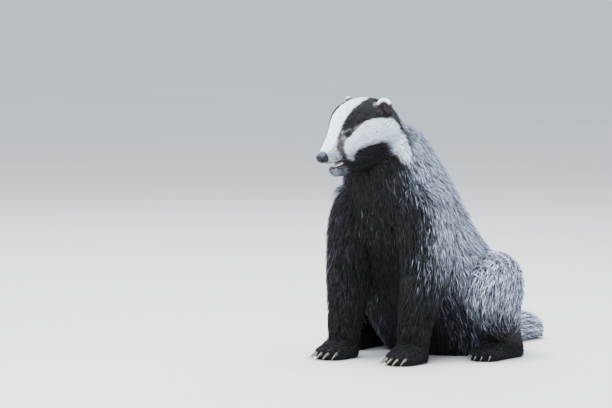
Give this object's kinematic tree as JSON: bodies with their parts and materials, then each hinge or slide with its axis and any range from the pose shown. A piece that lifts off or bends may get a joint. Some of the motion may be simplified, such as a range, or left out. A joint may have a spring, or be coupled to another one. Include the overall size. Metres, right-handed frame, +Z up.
{
  "type": "european badger museum model",
  "caption": "Life-size still model of a European badger sitting upright on its haunches, head turned aside, mouth just open.",
  "frame": {"origin": "middle of the footprint, on the floor", "axes": "+Z up, the body faces -X, the animal's left side faces -Y"},
  "size_m": [0.5416, 0.3162, 0.4014],
  "materials": {
    "coat_head": "short fur, white with black stripes through the eyes and ears",
    "coat_body": "long grizzled guard hair, grey from pale and black bands",
    "coat_legs": "short black fur",
    "nose_skin": "moist pebbled skin",
    "tongue": "moist",
    "eye": "wet gloss"
  },
  "bodies": {
    "root": {"head": "coat_head", "ear_left": "coat_head", "ear_right": "coat_head", "neck": "coat_body", "torso": "coat_body", "tail": "coat_body", "foreleg_left": "coat_legs", "foreleg_right": "coat_legs", "hindleg_left": "coat_legs", "hindleg_right": "coat_legs", "nose": "nose_skin", "tongue": "tongue", "eye_left": "eye", "eye_right": "eye"}
  },
  "joints": []
}
